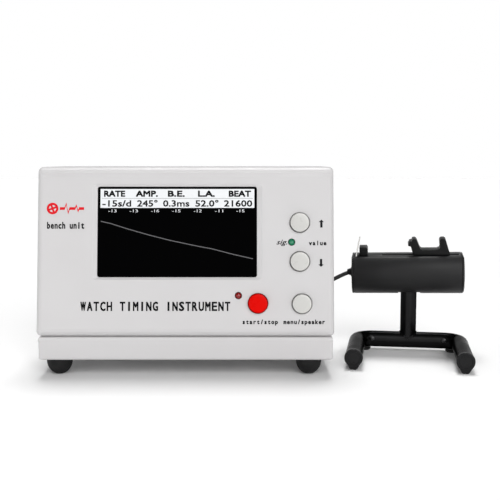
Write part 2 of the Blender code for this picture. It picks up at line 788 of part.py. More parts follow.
def post_sweep():
    """The (y, z) outline that the post passes through as the tube rolls, with its clearance."""
    first, last = -HEAD_ROLL, ROLL_RANGE - HEAD_ROLL
    near, far, side = 0.0050, 0.0200, PIPE_RADIUS + 0.0004

    def at(turn, reach, offset):
        """A point at a reach below the axis and an offset towards the rear, turned to the rear."""
        y, z = offset, -reach
        return (y * math.cos(turn) - z * math.sin(turn), y * math.sin(turn) + z * math.cos(turn))

    steps = [first + (last - first) * k / 8 for k in range(9)]
    arc = [at(turn, far, 0.0) for turn in steps]
    return [at(first, near, -side), at(first, far, -side)] + arc + [at(last, far, side), at(last, near, side)]


def tube_caps(head):
    """The end caps: the right one is blind and rounded, the left one holds the cable grommet."""
    plug = d_shape(TUBE_RADIUS - TUBE_WALL - GAP, TUBE_FLAT - TUBE_WALL - GAP)

    def cap(name, sign, end, rounding):
        arc = ((0.0, 1.0), (0.13, 0.5), (0.5, 0.13), (1.0, 0.0))
        rims = [(a * rounding, end + CAP_DEPTH - b * rounding) for a, b in arc]
        face = end + GAP
        rings = [(plug, face - 0.0036), (plug, face), (d_shape(TUBE_RADIUS, TUBE_FLAT), face)]
        for shrink, x in rims:
            rings.append((d_shape(TUBE_RADIUS - shrink, TUBE_FLAT - shrink), x))
        made = piece(name, loft([ring_of(outline, sign * x, "X") for outline, x in rings]), "black_plastic", head)
        rod = turned([(0.0018, sign * (face - 0.01)), (0.0018, sign * (face - 0.0008))], "X", (0, ROD_HEIGHT), 16)
        combine(made, rod)
        return made

    right = cap("tube_cap_right", 1, TUBE_ENDS[1], 0.0014)
    left = cap("tube_cap_left", -1, -TUBE_ENDS[0], 0.0005)
    combine(left, turned([(0.0027, -0.05), (0.0027, -0.02)], "X"))
    smooth(right)
    smooth(left)
    outside = TUBE_ENDS[0] - CAP_DEPTH
    grommet = [
        (0.0024, outside + 0.0045),
        (0.0024, outside + 0.0002),
        (0.0032, outside - GAP),
        (0.0027, outside - 0.0004),
    ]
    smooth(piece("cable_grommet", turned(grommet, "X", sides=16), "black_rubber", head))


def tube_pivot(head):
    """Two plates inside the tube, the axle between them and a friction washer on each side."""
    flat = 0.0036
    for side, sign in (("left", -1), ("right", 1)):
        plate = prism(d_shape(TUBE_RADIUS - TUBE_WALL - GAP, flat), sign * 0.0085, sign * 0.0110, "X")
        made = piece(f"pivot_plate_{side}", plate, "steel", head)
        combine(made, turned([(AXLE_BORE, -0.02), (AXLE_BORE, 0.02)], "X"))
    axle = [(0.0017, -0.0140), (AXLE, -0.0136), (AXLE, 0.0136), (0.0017, 0.0140)]
    smooth(piece("pivot_axle", turned(axle, "X", sides=16), "steel", head))
    washer = [(0.0034, 0.0048), (0.0034, 0.0082), (0.0023, 0.0082), (0.0023, 0.0048)]
    smooth(piece("friction_washer", turned(washer, "X", sides=16, closed=True), "black_rubber", head))


def watch_contacts(head):
    """The fixed jaw and the steel blade behind it, which carries the watch's sound."""
    top = TUBE_FLAT + GAP
    outline = [(-0.0340, top), (-0.0284, top), (-0.0284, 0.0170), (-0.0292, 0.0182), (-0.0340, 0.0182)]
    jaw = piece("fixed_jaw", prism(outline, -JAW_HALF, JAW_HALF, "Y"), "black_plastic", head)
    for height in (0.0140, 0.0156):
        groove = [(-0.0290, height), (-0.0270, height - 0.0005), (-0.0270, height + 0.0005)]
        combine(jaw, prism(groove, -0.01, 0.01, "Y"))
    lean, thick = 0.0016, 0.0009
    foot_x = -0.0366
    side = [
        (foot_x, top),
        (foot_x + thick, top),
        (foot_x + lean + thick, 0.0212),
        (foot_x + lean + 0.0016, 0.0240),
        (foot_x + lean + 0.0008, 0.0242),
        (foot_x + lean, 0.0214),
    ]
    blade = piece("contact_blade", prism(side, -0.0078, 0.0078, "Y"), "steel", head)
    notch = [(-0.0022, 0.03), (-0.0022, 0.0205), (-0.0012, 0.0190), (0.0012, 0.0190), (0.0022, 0.0205), (0.0022, 0.03)]
    combine(blade, prism(notch, -0.05, 0.0, "X"))
    for sign in (-1, 1):
        corner = [(sign * 0.0100, 0.0150), (sign * 0.0100, 0.03), (sign * 0.0050, 0.03), (sign * 0.0078, 0.0150)]
        combine(blade, prism(corner, -0.05, 0.0, "X"))


def pickup(head):
    """The piezo disc under the fixed jaw and the small board that amplifies it."""
    high = TUBE_FLAT - TUBE_WALL - GAP
    disc = [(0.0075, high - 0.0012), (0.0075, high)]
    smooth(piece("piezo_disc", turned(disc, middle=(-0.0258, 0), sides=24), "brass", head))
    board = block((-0.0320, -0.0070, -0.0070), (-0.0140, 0.0070, -0.0054))
    piece("preamp_board", board, "circuit_board", head)


def jaw_guide(head):
    """The rod that the sliding jaw's shoe runs on, and the spring around it."""
    end = TUBE_ENDS[1] - 0.0006
    rod = [(0.0012, -0.0190), (ROD, -0.0187), (ROD, end)]
    smooth(piece("guide_rod", turned(rod, "X", (0, ROD_HEIGHT), 16), "steel", head))
    start, stop, turns, per_turn = 0.0212, 0.0309, 5, 8
    coil = []
    for k in range(turns * per_turn + 1):
        angle = 2 * math.pi * k / per_turn
        x = start + (stop - start) * k / (turns * per_turn)
        coil.append((x, 0.0023 * math.cos(angle), ROD_HEIGHT + 0.0023 * math.sin(angle)))
    cord("jaw_spring", coil, 0.0003, "steel", head, 0)


def sliding_jaw(head):
    """The sliding jaw: a toothed block, a thumb tab, and a shoe on the rod inside the tube."""
    foot = TUBE_FLAT + GAP
    outline = [
        (0.0029, foot),
        (0.0012, 0.0186),
        (-0.0006, 0.0191),
        (-0.0007, 0.0205),
        (0.0000, 0.0207),
        (0.0001, 0.0221),
        (0.0019, 0.0223),
        (0.0021, 0.0235),
        (0.0028, 0.0238),
        (0.0043, 0.0238),
        (0.0052, 0.0230),
        (0.0074, 0.0175),
        (0.0080, 0.0166),
        (0.0090, 0.0162),
        (0.0191, 0.0162),
        (0.0203, 0.0168),
        (0.0209, 0.0180),
        (0.0206, 0.0222),
        (0.0210, 0.0233),
        (0.0219, 0.0238),
        (0.0238, 0.0238),
        (0.0248, 0.0231),
        (0.0276, 0.0134),
        (0.0276, foot),
    ]
    jaw = piece("sliding_jaw", prism(outline, -JAW_HALF, JAW_HALF, "Y"), "black_plastic", head)
    round_edges(jaw, 0.0005, 1, 60)
    fix(jaw)
    neck = GUIDE_SLOT_WIDTH / 2 - 0.0003
    combine(jaw, block((0.0090, -neck, 0.0080), (0.0190, neck, 0.0130)), "UNION")
    combine(jaw, block((0.0082, -0.0042, 0.0043), (0.0200, 0.0042, 0.0098)), "UNION")
    combine(jaw, turned([(ROD_BORE, 0.0), (ROD_BORE, 0.03)], "X", (0, ROD_HEIGHT), 20))


def microphone_stand(table):
    stand = guide("stand_frame", table, STAND_PLACE, (0, 0, STAND_TURN))
    base_tube(stand)
    post(stand)
    post_head(stand)
    leg_caps(stand)
    bar_fittings(stand)
    head = guide("roll_axis", stand, (0, 0, HEAD_HEIGHT), (HEAD_ROLL, HEAD_TILT, 0))
    tube_body(head)
    tube_caps(head)
    tube_pivot(head)
    watch_contacts(head)
    pickup(head)
    jaw_guide(head)
    sliding_jaw(head)


# --- Cable --------------------------------------------------------------------------------------


def cable(table):
    """The free cable: a lead, a round coil behind the case, and a tail up to the plug."""
    for name, route in (("cable_lead", LEAD_ROUTE), ("cable_tail", TAIL_ROUTE)):
        points = smooth_route([Vector(point) for point in route], 2.5 * 2 * CABLE_RADIUS)
        cord(name, points, CABLE_RADIUS, "black_rubber", table)
    low, high = 0.0001, COIL_HEIGHT
    inner, outer = COIL_RADII
    soft = 0.0012
    profile = [
        (outer - soft, low),
        (outer, low + soft),
        (outer, high - soft),
        (outer - soft, high),
        (inner + soft, high),
        (inner, high - soft),
        (inner, low + soft),
        (inner + soft, low),
    ]
    ring = turned(profile, sides=28, closed=True)
    smooth(piece("cable_coil", ring, "black_rubber", table, (*COIL_MIDDLE, 0)))


def main_unit(table):
    case = guide("case_frame", table)
    panel = guide("panel_frame", case, (0, 0, PANEL_FOOT), (math.pi / 2 - PANEL_SLANT, 0, 0))
    base_tray(case)
    front_shell(case, panel)
    top_cover(case)
    rear_panel(case)
    rear_screws(case)
    case_feet(case)
    panel_pieces(panel)
    main_board(case)
    speaker(case)
    power_switch(case)
    power_jack(case)
    sensor_socket(case)
    sensor_plug(case)


def build():
    for old in list(bpy.data.objects):
        bpy.data.objects.remove(old)
    table = guide("table", None, LAYOUT_SHIFT)
    main_unit(table)
    microphone_stand(table)
    cable(table)
    bpy.context.view_layer.update()


build()
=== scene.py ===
"""The timegrapher's looks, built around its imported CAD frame.

Units are metres, +Z is up and the user sits on the -Y side, as in the frame.
"""

import json
import math

import bmesh
import bpy
from mathutils import Matrix, Vector


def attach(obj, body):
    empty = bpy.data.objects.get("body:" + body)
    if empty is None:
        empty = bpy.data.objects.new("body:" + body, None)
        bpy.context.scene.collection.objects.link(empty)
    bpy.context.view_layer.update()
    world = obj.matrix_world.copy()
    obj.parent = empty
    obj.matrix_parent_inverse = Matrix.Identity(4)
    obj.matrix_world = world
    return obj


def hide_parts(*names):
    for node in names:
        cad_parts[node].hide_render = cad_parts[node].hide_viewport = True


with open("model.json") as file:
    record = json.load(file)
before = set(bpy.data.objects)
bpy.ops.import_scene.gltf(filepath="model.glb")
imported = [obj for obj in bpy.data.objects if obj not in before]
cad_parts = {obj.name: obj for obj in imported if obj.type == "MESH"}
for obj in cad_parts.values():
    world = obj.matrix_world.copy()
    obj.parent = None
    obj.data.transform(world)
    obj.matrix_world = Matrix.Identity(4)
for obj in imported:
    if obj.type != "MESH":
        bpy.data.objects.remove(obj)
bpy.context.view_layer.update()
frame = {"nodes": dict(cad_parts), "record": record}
NODES = frame["nodes"]
ROOT = "main_unit_and_stand"
HEAD_BODY = "mic_head"

# --- Places, as in the CAD ------------------------------------------------------------------

SHIFT = Vector((-0.0490, -0.0500, 0.0))  # from places measured at the case's front to the frame's
GAP = 0.0003  # clearance between touching pieces
SLANT = math.radians(8.8)  # how far the panel leans back
PANEL_FOOT = Vector((0, 0, 0.0311))
PANEL = Matrix.Translation(SHIFT + PANEL_FOOT) @ Matrix.Rotation(math.pi / 2 - SLANT, 4, "X")
TABLE = Matrix.Translation(SHIFT)
STAND_PLACE = Vector((0.1507, 0.0803, 0))
STAND_TURN = math.radians(-9.2)
STAND = Matrix.Translation(SHIFT + STAND_PLACE) @ Matrix.Rotation(STAND_TURN, 4, "Z")
HEAD_HEIGHT = 0.0558  # of the axis that the head rolls about
HEAD_ROLL = math.radians(5)  # the tube's flat faces slightly towards the user
HEAD_TILT = math.radians(-1.25)  # the tube's right end is slightly higher
HEAD_TURN = Matrix.Rotation(HEAD_TILT, 4, "Y") @ Matrix.Rotation(HEAD_ROLL, 4, "X")
HEAD = STAND @ Matrix.Translation((0, 0, HEAD_HEIGHT)) @ HEAD_TURN

# Places on the panel, across and up, and sizes of what it carries
KEYS = {
    "up": (0.0703, 0.0646),
    "down": (0.0703, 0.0407),
    "menu": (0.0715, 0.0148),
    "start_stop": (0.0446, 0.0150),
}
KEY_RADIUS, KEY_RISE, KEY_EDGE = 0.0058, 0.0030, 0.0006
LAMPS = {"signal": ("green", (0.0653, 0.0526)), "status": ("red", (0.0326, 0.0198))}
LAMP_RADIUS = 0.0020
LIT_LEFT, LIT_WIDTH = -0.0525, 0.0949  # the screen's lit area
FOOT_COLUMNS = {"left": -0.0798, "right": 0.0765}
FOOT_ROWS = {"front": 0.0135, "rear": 0.0730}
FOOT_RADIUS, FOOT_DOME, FOOT_TOP = 0.0080, 0.0086, 0.0101

PIPE = 0.0056  # the stand pipe's radius
PIPE_INSIDE = 0.0041
POST = 0.0055  # the post's radius
POST_TOP = HEAD_HEIGHT - 0.0095
BAR_HEIGHT = 0.0077
LEG_ACROSS = 0.03495  # from the stand's middle to a leg's
LEG_LENGTH = 0.0634
BEND = 0.0110
TUBE = 0.0150  # the microphone tube's radius
TUBE_FLAT = 0.0121  # from its axis up to its flat
TUBE_WALL = 0.0020
TUBE_LEFT, TUBE_RIGHT = -0.0376, 0.0353
CAP_DEPTH = 0.0017
GUIDE_SLOT = (-0.0185, 0.0339)  # its two ends along the tube
GUIDE_SLOT_HALF = 0.0025
POST_SLOT_HALF = 0.0075
ROLL_RANGE = math.radians(90)
ROD_HEIGHT = 0.0069  # above the tube's axis
ROD_BORE = 0.00159
JAW_HALF = 0.0056  # half of the jaws' depth, front to back

CABLE_DIAMETER = 0.0028
COIL_MIDDLE = Vector((0.0300, 0.1085, 0.0))
COIL_OUTER = 0.0196  # radius of the outermost turn's centreline
COIL_TURNS = 4  # in each of the two layers
COIL_LOW, COIL_HIGH = 0.0015, 0.0043  # the two layers' heights

# The cable's route, from the tube's end cap to the coil, and from the coil to the plug
LEAD_ROUTE = [
    (0.1108, 0.0868, 0.0549),
    (0.1065, 0.0875, 0.0532),
    (0.1018, 0.0884, 0.0508),
    (0.0959, 0.0899, 0.0474),
    (0.0892, 0.0923, 0.0428),
    (0.0830, 0.0955, 0.0366),
    (0.0777, 0.0994, 0.0288),
    (0.0732, 0.1040, 0.0201),
    (0.0690, 0.1090, 0.0122),
    (0.0640, 0.1143, 0.0053),
    (0.0575, 0.1196, 0.0022),
    (0.0500, 0.1245, 0.0016),
    (0.0418, 0.1278, 0.0015),
]
TAIL_ROUTE = [
    (0.0182, 0.1281, 0.0032),
    (0.0120, 0.1284, 0.0020),
    (0.0050, 0.1285, 0.0017),
    (-0.0010, 0.1280, 0.0030),
    (-0.0058, 0.1266, 0.0068),
    (-0.0090, 0.1243, 0.0128),
    (-0.0104, 0.1212, 0.0200),
    (-0.0106, 0.1178, 0.0265),
    (-0.0103, 0.1150, 0.0310),
    (-0.0100, 0.1122, 0.0334),
    (-0.0100, 0.1095, 0.0340),
]


# --- Materials ------------------------------------------------------------------------------


def look(name, colour, roughness, metallic=0.0, **sockets):
    """A Principled material; sockets sets any other of its inputs."""
    made = bpy.data.materials.new(name)
    made.use_nodes = True
    shader = made.node_tree.nodes["Principled BSDF"]
    shader.inputs["Base Color"].default_value = (*colour, 1.0)
    shader.inputs["Roughness"].default_value = roughness
    shader.inputs["Metallic"].default_value = metallic
    for socket, value in sockets.items():
        shader.inputs[socket.replace("_", " ")].default_value = value
    return made


def noise(made, scale, detail, stretch=(1, 1, 1)):
    """A noise texture on the object's own coordinates, in cells per metre."""
    nodes, links = made.node_tree.nodes, made.node_tree.links
    place = nodes.new("ShaderNodeTexCoord")
    mapping = nodes.new("ShaderNodeMapping")
    mapping.inputs["Scale"].default_value = stretch
    texture = nodes.new("ShaderNodeTexNoise")
    texture.inputs["Scale"].default_value = scale
    texture.inputs["Detail"].default_value = detail
    links.new(place.outputs["Object"], mapping.inputs["Vector"])
    links.new(mapping.outputs["Vector"], texture.inputs["Vector"])
    return texture.outputs["Fac"]


def spread(made, value, low, high):
    """A noise value stretched between two numbers."""
    nodes, links = made.node_tree.nodes, made.node_tree.links
    ranged = nodes.new("ShaderNodeMapRange")
    ranged.inputs["From Min"].default_value = 0.3  # noise seldom leaves 0.3 to 0.7
    ranged.inputs["From Max"].default_value = 0.7
    ranged.inputs["To Min"].default_value = low
    ranged.inputs["To Max"].default_value = high
    links.new(value, ranged.inputs["Value"])
    return ranged.outputs["Result"]


def vary_roughness(made, scale, low, high, stretch=(1, 1, 1)):
    """Drifts the roughness between two values."""
    shader = made.node_tree.nodes["Principled BSDF"]
    result = spread(made, noise(made, scale, 3.0, stretch), low, high)
    made.node_tree.links.new(result, shader.inputs["Roughness"])


def vary_colour(made, scale, other, share):
    """Drifts the base colour towards another by a share, in soft patches."""
    nodes, links = made.node_tree.nodes, made.node_tree.links
    shader = nodes["Principled BSDF"]
    mix = nodes.new("ShaderNodeMix")
    mix.data_type = "RGBA"
    mix.inputs["A"].default_value = shader.inputs["Base Color"].default_value[:]
    mix.inputs["B"].default_value = (*other, 1.0)
    links.new(spread(made, noise(made, scale, 3.0), 0.0, share), mix.inputs["Factor"])
    links.new(mix.outputs["Result"], shader.inputs["Base Color"])


def texture_surface(made, scale, depth, detail=2.0, stretch=(1, 1, 1)):
    """Fine relief of a depth in metres."""
    nodes, links = made.node_tree.nodes, made.node_tree.links
    bump = nodes.new("ShaderNodeBump")
    bump.inputs["Strength"].default_value = 1.0
    bump.inputs["Distance"].default_value = depth
    links.new(noise(made, scale, detail, stretch), bump.inputs["Height"])
    links.new(bump.outputs["Normal"], nodes["Principled BSDF"].inputs["Normal"])


def make_looks():
    """Every material, by name."""
    made = {}

    def add(name, colour, roughness, metallic=0.0, **sockets):
        """Makes a look and keeps it under its name."""
        made[name] = look(name, colour, roughness, metallic, **sockets)
        return made[name]

    # Case and keys
    coat = add("powder_coat", (0.492, 0.485, 0.488), 0.45, Specular_IOR_Level=0.4)
    vary_colour(coat, 14, (0.472, 0.461, 0.465), 0.8)
    vary_roughness(coat, 60, 0.38, 0.50)
    texture_surface(coat, 2200, 0.000012, 3.0)

    grey = add("key_grey", (0.462, 0.458, 0.440), 0.30, Coat_Weight=0.1)
    vary_roughness(grey, 300, 0.26, 0.36)
    texture_surface(grey, 3000, 0.000004)
    red = add("key_red", (0.570, 0.0015, 0.0002), 0.34, Specular_IOR_Level=0.04)
    vary_roughness(red, 300, 0.24, 0.34)
    texture_surface(red, 3000, 0.000004)

    # Lamps: colour, clear coat and glow
    for name, colour, clear, glow in (
        ("lamp_green", (0.002, 0.140, 0.064), 0.2, (0.02, 0.6, 0.3, 1.0)),
        ("lamp_red", (0.165, 0.002, 0.002), 0.1, (0.8, 0.05, 0.03, 1.0)),
    ):
        lamp = add(name, colour, 0.10, Coat_Weight=clear, Emission_Strength=0.03, Emission_Color=glow)
        vary_roughness(lamp, 500, 0.06, 0.14)

    # Screen and print
    window = add("window_gloss", (0.0004, 0.0004, 0.0005), 0.12, Specular_IOR_Level=0.012)
    vary_roughness(window, 90, 0.09, 0.16)
    glow = (0.95, 0.97, 1.0, 1.0)
    white = add("screen_white", (0.60, 0.61, 0.62), 0.4, Emission_Strength=0.08, Emission_Color=glow)
    vary_colour(white, 40, (0.58, 0.60, 0.63), 0.5)
    for name, colour in (("screen_ink", (0.004, 0.004, 0.005)), ("screen_grey", (0.105, 0.105, 0.108))):
        ink = add(name, colour, 0.45, Specular_IOR_Level=0.08)
        vary_roughness(ink, 400, 0.40, 0.50)
    for name, colour in (("ink_dark", (0.006, 0.006, 0.007)), ("ink_red", (0.50, 0.006, 0.012))):
        ink = add(name, colour, 0.5, Specular_IOR_Level=0.08)
        vary_roughness(ink, 900, 0.42, 0.58)
        vary_colour(ink, 700, tuple(min(1.0, c * 1.6 + 0.004) for c in colour), 0.4)

    # Inside the case
    display = add("display_black", (0.006, 0.006, 0.007), 0.3)
    vary_roughness(display, 120, 0.24, 0.36)
    board = add("board_green", (0.012, 0.110, 0.036), 0.42)
    vary_colour(board, 420, (0.030, 0.190, 0.070), 0.7)
    texture_surface(board, 900, 0.00003)

    # The stand's and the cable's blacks
    tube = add("tube_black", (0.0100, 0.0100, 0.0105), 0.46, Specular_IOR_Level=0.20)
    vary_roughness(tube, 130, 0.42, 0.52, (0.25, 1, 1))
    texture_surface(tube, 2600, 0.000010, 3.0, (0.3, 1, 1))
    moulded = add("moulded_black", (0.0044, 0.0046, 0.0048), 0.42, Specular_IOR_Level=0.12)
    vary_roughness(moulded, 160, 0.34, 0.50)
    texture_surface(moulded, 1700, 0.000014, 3.0)
    rubber = add("rubber_black", (0.0080, 0.0080, 0.0085), 0.62, Specular_IOR_Level=0.15)
    vary_colour(rubber, 260, (0.018, 0.017, 0.017), 0.5)
    vary_roughness(rubber, 200, 0.52, 0.74)
    texture_surface(rubber, 1500, 0.000018)
    end = add("cap_black", (0.0060, 0.0060, 0.0064), 0.30, Specular_IOR_Level=0.18)
    vary_roughness(end, 300, 0.24, 0.42)
    texture_surface(end, 1800, 0.000008)
    jacket = add("cable_black", (0.0100, 0.0100, 0.0105), 0.50)
    vary_roughness(jacket, 200, 0.44, 0.58)
    texture_surface(jacket, 2400, 0.000010)
    enamel = add("enamel_black", (0.0155, 0.0155, 0.0160), 0.28, 1.0, Specular_Tint=(0.40, 0.40, 0.40, 1.0))
    vary_roughness(enamel, 70, 0.25, 0.34)
    texture_surface(enamel, 700, 0.000020, 3.0)

    # Bare metals
    steel = add("bright_steel", (0.66, 0.65, 0.63), 0.28, 1.0)
    vary_roughness(steel, 260, 0.20, 0.38, (0.2, 1, 1))
    texture_surface(steel, 1500, 0.000006, 2.0, (0.1, 1, 1))
    nickel = add("nickel_plate", (0.74, 0.71, 0.66), 0.20, 1.0)
    vary_roughness(nickel, 220, 0.15, 0.28)
    dark = add("dark_steel", (0.060, 0.060, 0.062), 0.42, 1.0)
    vary_roughness(dark, 260, 0.34, 0.52)
    brass = add("plain_brass", (0.72, 0.50, 0.20), 0.28, 1.0)
    vary_roughness(brass, 220, 0.22, 0.36)
    vary_colour(brass, 180, (0.50, 0.32, 0.12), 0.4)

    floor = add("floor_white", (0.82, 0.82, 0.82), 0.7, Specular_IOR_Level=0.2)
    vary_roughness(floor, 3, 0.62, 0.78)
    return made


LOOKS = make_looks()

SLOT_LOOKS = {  # what a carried-over node wears, by its slot in the record
    "case_paint": "powder_coat",
    "button_grey": "key_grey",
    "button_red": "key_red",
    "led_green": "lamp_green",
    "led_red": "lamp_red",
    "window_black": "window_gloss",
    "display": "display_black",
    "circuit_board": "board_green",
    "black_plastic": "moulded_black",
    "black_rubber": "rubber_black",
    "black_enamel": "enamel_black",
    "steel": "bright_steel",
    "nickel": "nickel_plate",
    "brass": "plain_brass",
}


def dress_nodes():
    """Gives every CAD node its finished material."""
    for entry in frame["record"]["subparts"]:
        node = NODES[entry["node"]]
        node.data.materials.clear()
        dark = entry["node"].startswith("bar_screw")
        node.data.materials.append(LOOKS["dark_steel" if dark else SLOT_LOOKS[entry["material_slot"]]])


# --- Mesh tools -----------------------------------------------------------------------------


def add_object(name, data):
    """A new object in the scene, around a mesh, a curve, a camera or a light."""
    made = bpy.data.objects.new(name, data)
    bpy.context.scene.collection.objects.link(made)
    return made


def piece(name, mesh, place, body, material, nodes=()):
    """A new piece at a place, riding on a body; nodes are what it stands for."""
    mesh.transform(place)
    made = add_object(name, mesh)
    made.data.materials.clear()
    made.data.materials.append(LOOKS[material])
    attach(made, body)
    if nodes:
        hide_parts(*nodes)


def circle(radius, sides=48, middle=(0.0, 0.0)):
    """The points of a regular polygon, for a round outline."""
    turns = [2 * math.pi * k / sides for k in range(sides)]
    return [(middle[0] + radius * math.cos(t), middle[1] + radius * math.sin(t)) for t in turns]


def rectangle(width, height, middle=(0.0, 0.0)):
    """The four corners of a rectangle."""
    x, y = width / 2, height / 2
    return [(middle[0] + a, middle[1] + b) for a, b in ((-x, -y), (x, -y), (x, y), (-x, y))]


def rounded(width, height, corner, middle=(0.0, 0.0), steps=6):
    """A rectangle with rounded corners."""
    made = []
    for quarter, (sx, sy) in enumerate(((1, 1), (-1, 1), (-1, -1), (1, -1))):
        x = middle[0] + sx * (width / 2 - corner)
        y = middle[1] + sy * (height / 2 - corner)
        for k in range(steps + 1):
            turn = math.pi / 2 * (quarter + k / steps)
            made.append((x + corner * math.cos(turn), y + corner * math.sin(turn)))
    return made


def ring_of(outline, height, axis):
    """The outline's points at a height along an axis."""
    if axis == "X":
        return [(height, a, b) for a, b in outline]
    if axis == "Y":
        return [(a, height, b) for a, b in outline]
    return [(a, b, height) for a, b in outline]


def loft(rings, closed=False):
    """A skin over rings of equally many points, capped at its ends or joined end to end."""
    count = len(rings[0])
    points = [point for ring in rings for point in ring]
    faces = []
    for k in range(len(rings) if closed else len(rings) - 1):
        a, b = k * count, (k + 1) % len(rings) * count
        for i in range(count):
            j = (i + 1) % count
            faces.append((a + i, a + j, b + j, b + i))
    if not closed:
        faces += [tuple(range(count)), tuple(range(len(points) - count, len(points)))]
    mesh = bpy.data.meshes.new("loft")
    mesh.from_pydata(points, [], faces)
    shape = bmesh.new()
    shape.from_mesh(mesh)
    bmesh.ops.recalc_face_normals(shape, faces=shape.faces)
    shape.to_mesh(mesh)
    shape.free()
    return mesh


def prism(outline, low, high, axis="Z"):
    """An outline pushed along an axis, from low to high."""
    return loft([ring_of(outline, low, axis), ring_of(outline, high, axis)])


def block(low, high):
    """A box between two corners."""
    width, depth = high[0] - low[0], high[1] - low[1]
    middle = ((low[0] + high[0]) / 2, (low[1] + high[1]) / 2)
    return prism(rectangle(width, depth, middle), low[2], high[2])


def turned(profile, axis="Z", middle=(0.0, 0.0), sides=48, closed=False):
    """A profile of (radius, height) points turned about an axis; closed leaves a hole."""
    return loft([ring_of(circle(r, sides, middle), h, axis) for r, h in profile], closed)


def take_mesh(carrier):
    """The mesh that an object comes to, with its modifiers; the object is removed."""
    bpy.context.view_layer.update()
    graph = bpy.context.evaluated_depsgraph_get()
    mesh = bpy.data.meshes.new_from_object(carrier.evaluated_get(graph))
    bpy.data.objects.remove(carrier)
    return mesh


def with_modifier(mesh, kind, **settings):
    """The mesh after one modifier."""
    carrier = add_object("carrier", mesh)
    modifier = carrier.modifiers.new("change", kind)
    for setting, value in settings.items():
        setattr(modifier, setting, value)
    return take_mesh(carrier)


def combine(mesh, other, operation="DIFFERENCE"):
    """Cuts another mesh out of a mesh, or joins it on with UNION."""
    tool = add_object("tool", other)
    result = with_modifier(mesh, "BOOLEAN", operation=operation, solver="EXACT", object=tool)
    bpy.data.objects.remove(tool)
    return result


def bevel(mesh, width, segments, angle):
    """Rounds the edges sharper than an angle in degrees."""
    return with_modifier(
        mesh,
        "BEVEL",
        width=width,
        segments=segments,
        limit_method="ANGLE",
        angle_limit=math.radians(angle),
        use_clamp_overlap=True,
    )


def smooth(mesh, angle=40.0):
    """Smooth shading, with edges sharper than an angle in degrees left crisp."""
    mesh.shade_smooth()
    mesh.set_sharp_from_angle(angle=math.radians(angle))
    return mesh


def arc(radius, low, high, steps):
    """(radius, height) points of an arc between two angles in degrees."""
    turns = [math.radians(low + (high - low) * k / steps) for k in range(steps + 1)]
    return [(radius * math.cos(t), radius * math.sin(t)) for t in turns]


# --- Camera ---------------------------------------------------------------------------------


LENS = 64.15  # focal length in millimetres, on a sensor 36 mm wide
CAMERA_PLACE = Vector((0.03972, -0.53694, 0.13328))
CAMERA_TILT = 5.77  # degrees below level


def make_camera():
    """A camera in front of the case, a little above it and looking slightly down."""
    data = bpy.data.cameras.new("camera")
    data.sensor_width = 36.0
    data.lens = LENS
    data.clip_start = 0.01
    camera = add_object("camera", data)
    camera.location = SHIFT + CAMERA_PLACE
    camera.rotation_euler = (math.radians(90 - CAMERA_TILT), 0.0, 0.0)
    bpy.context.scene.camera = camera


# --- Cable ----------------------------------------------------------------------------------


def smooth_route(points, step):
    """Points about a step apart on a smooth curve through a route's points."""
    points = [Vector(point) for point in points]
    ends = [2 * points[0] - points[1]] + points + [2 * points[-1] - points[-2]]
    made = []
    for before, start, end, after in zip(ends, ends[1:], ends[2:], ends[3:]):
        pieces = max(1, round((end - start).length / step))
        for k in range(pieces):
            t = k / pieces
            bend = 2 * before - 5 * start + 4 * end - after
            twist = 3 * start - before - 3 * end + after
            made.append(start + 0.5 * t * (end - before + t * (bend + t * twist)))
    return made + [points[-1]]


def coil_points(per_turn=28):
    """Two layers of turns: inwards on the table, a short rise, and outwards on top."""
    made = []
    for k in range(2 * COIL_TURNS * per_turn + 1):
        turn = k / per_turn
        radius = COIL_OUTER - CABLE_DIAMETER * (COIL_TURNS - abs(turn - COIL_TURNS))
        rise = min(1.0, max(0.0, (turn - COIL_TURNS + 0.25) / 0.5))  # over half a turn
        height = COIL_LOW + (COIL_HIGH - COIL_LOW) * rise * rise * (3 - 2 * rise)
        angle = math.pi / 2 + 2 * math.pi * turn
        made.append(COIL_MIDDLE + Vector((radius * math.cos(angle), radius * math.sin(angle), height)))
    return made


def make_cable():
    """The whole cable as one spline, from the tube's strain relief to the plug's boot."""
    spacing = 0.003
    points = smooth_route(LEAD_ROUTE, spacing) + coil_points() + smooth_route(TAIL_ROUTE, spacing)
    data = bpy.data.curves.new("cable", "CURVE")
    data.dimensions = "3D"
    data.bevel_depth = CABLE_DIAMETER / 2
    data.bevel_resolution = 4
    data.use_fill_caps = True
    line = data.splines.new("POLY")
    line.points.add(len(points) - 1)
    for target, point in zip(line.points, points):
        target.co = (*(point + SHIFT), 1.0)
    line.use_smooth = True
    data.materials.append(LOOKS["cable_black"])
    cable = add_object("cable", data)
    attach(cable, ROOT)
    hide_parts("cable_lead", "cable_coil", "cable_tail")


def make_strain_relief():
    """The ribbed rubber sleeve that the cable leaves the tube's end cap through."""
    end = TUBE_LEFT - CAP_DEPTH
    bore, stem, flange, pitch = 0.0015, 0.0024, 0.0034, 0.0009
    profile = [(bore, end + 0.0045), (stem, end + 0.0045), (stem, end - 0.0001)]
    profile += [(flange, end - 0.0001), (flange, end - pitch)]
    for rib in range(3):
        start, radius = end - pitch - pitch * rib, 0.0027 - 0.00030 * rib
        groove = radius - 0.0005
        profile += [(radius, start), (radius, start - 0.0005)]
        profile += [(groove, start - 0.0006), (groove, start - pitch)]
    profile += [(bore, profile[-1][1])]
    mesh = smooth(turned(profile, "X", sides=36, closed=True))
    piece("strain_relief", mesh, HEAD, HEAD_BODY, "rubber_black", ["cable_grommet"])


